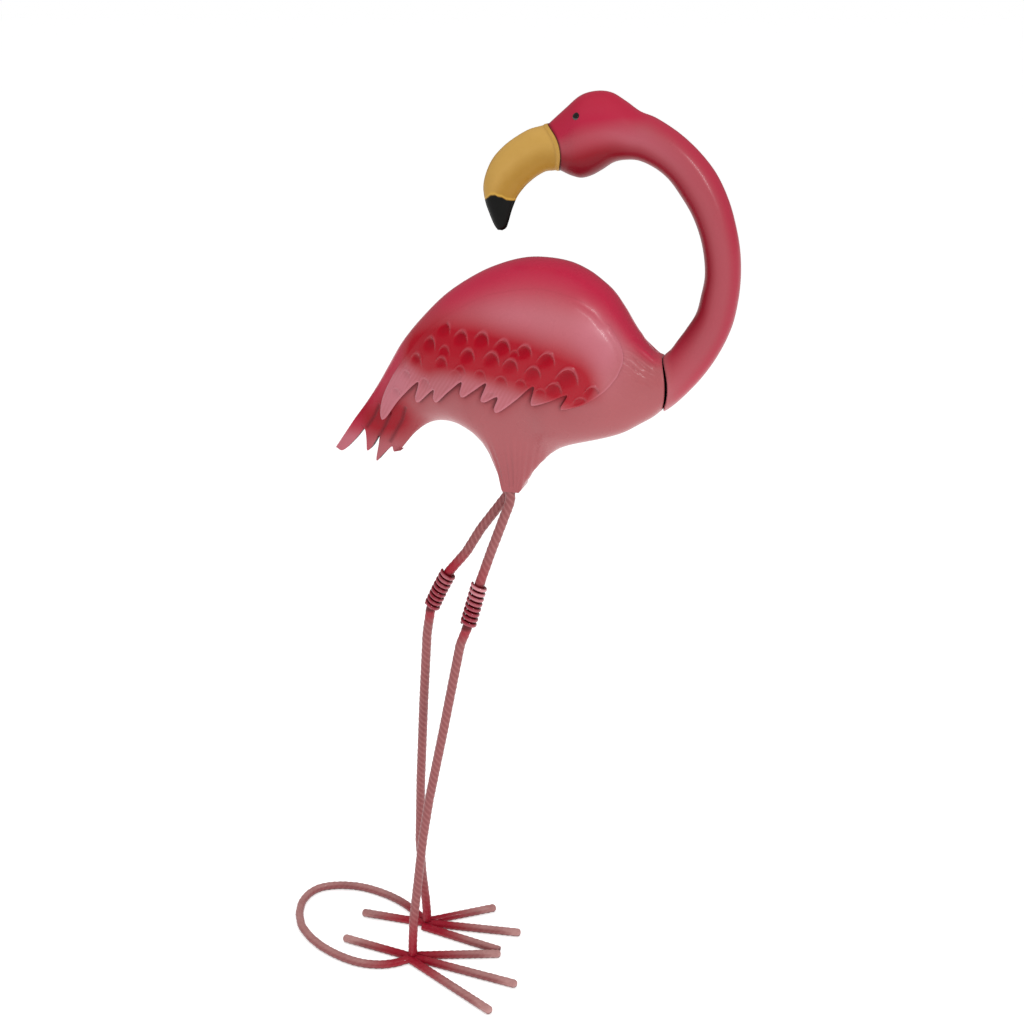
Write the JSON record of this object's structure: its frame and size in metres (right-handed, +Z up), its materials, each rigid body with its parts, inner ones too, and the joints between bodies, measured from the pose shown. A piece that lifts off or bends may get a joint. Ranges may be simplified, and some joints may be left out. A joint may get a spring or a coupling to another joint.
{
  "type": "flamingo statue",
  "caption": "Standing flamingo statue of pressed iron sheet on slim bar legs, with toes and a ground loop of bent bar, for a garden or patio.",
  "frame": {"origin": "on the ground, under the middle of the bird's bounding box", "axes": "+Z up, +X the way the bird's breast faces, -Y towards the bird's right side"},
  "size_m": [0.4672, 0.1751, 0.9006],
  "materials": {
    "rose_enamel": "glossy enamel, sprayed from deep rose to pale pink",
    "mustard_enamel": "satin enamel with a black tip",
    "black_gloss": "gloss black",
    "pink_bar_enamel": "enamel over ribbed bar, redder at the feet",
    "red_coil_enamel": "enamel over wire"
  },
  "bodies": {
    "root": {"body": "rose_enamel", "wing_right": "rose_enamel", "wing_left": "rose_enamel", "neck_and_head": "rose_enamel", "beak": "mustard_enamel", "eye_right": "black_gloss", "eye_left": "black_gloss", "leg_right": "pink_bar_enamel", "leg_left": "pink_bar_enamel", "knee_coil_right": "red_coil_enamel", "knee_coil_left": "red_coil_enamel", "long_toe_right": "pink_bar_enamel", "inner_toe_right": "pink_bar_enamel", "outer_toe_right": "pink_bar_enamel", "long_toe_left": "pink_bar_enamel", "inner_toe_left": "pink_bar_enamel", "outer_toe_left": "pink_bar_enamel", "base_loop": "pink_bar_enamel"}
  },
  "joints": []
}
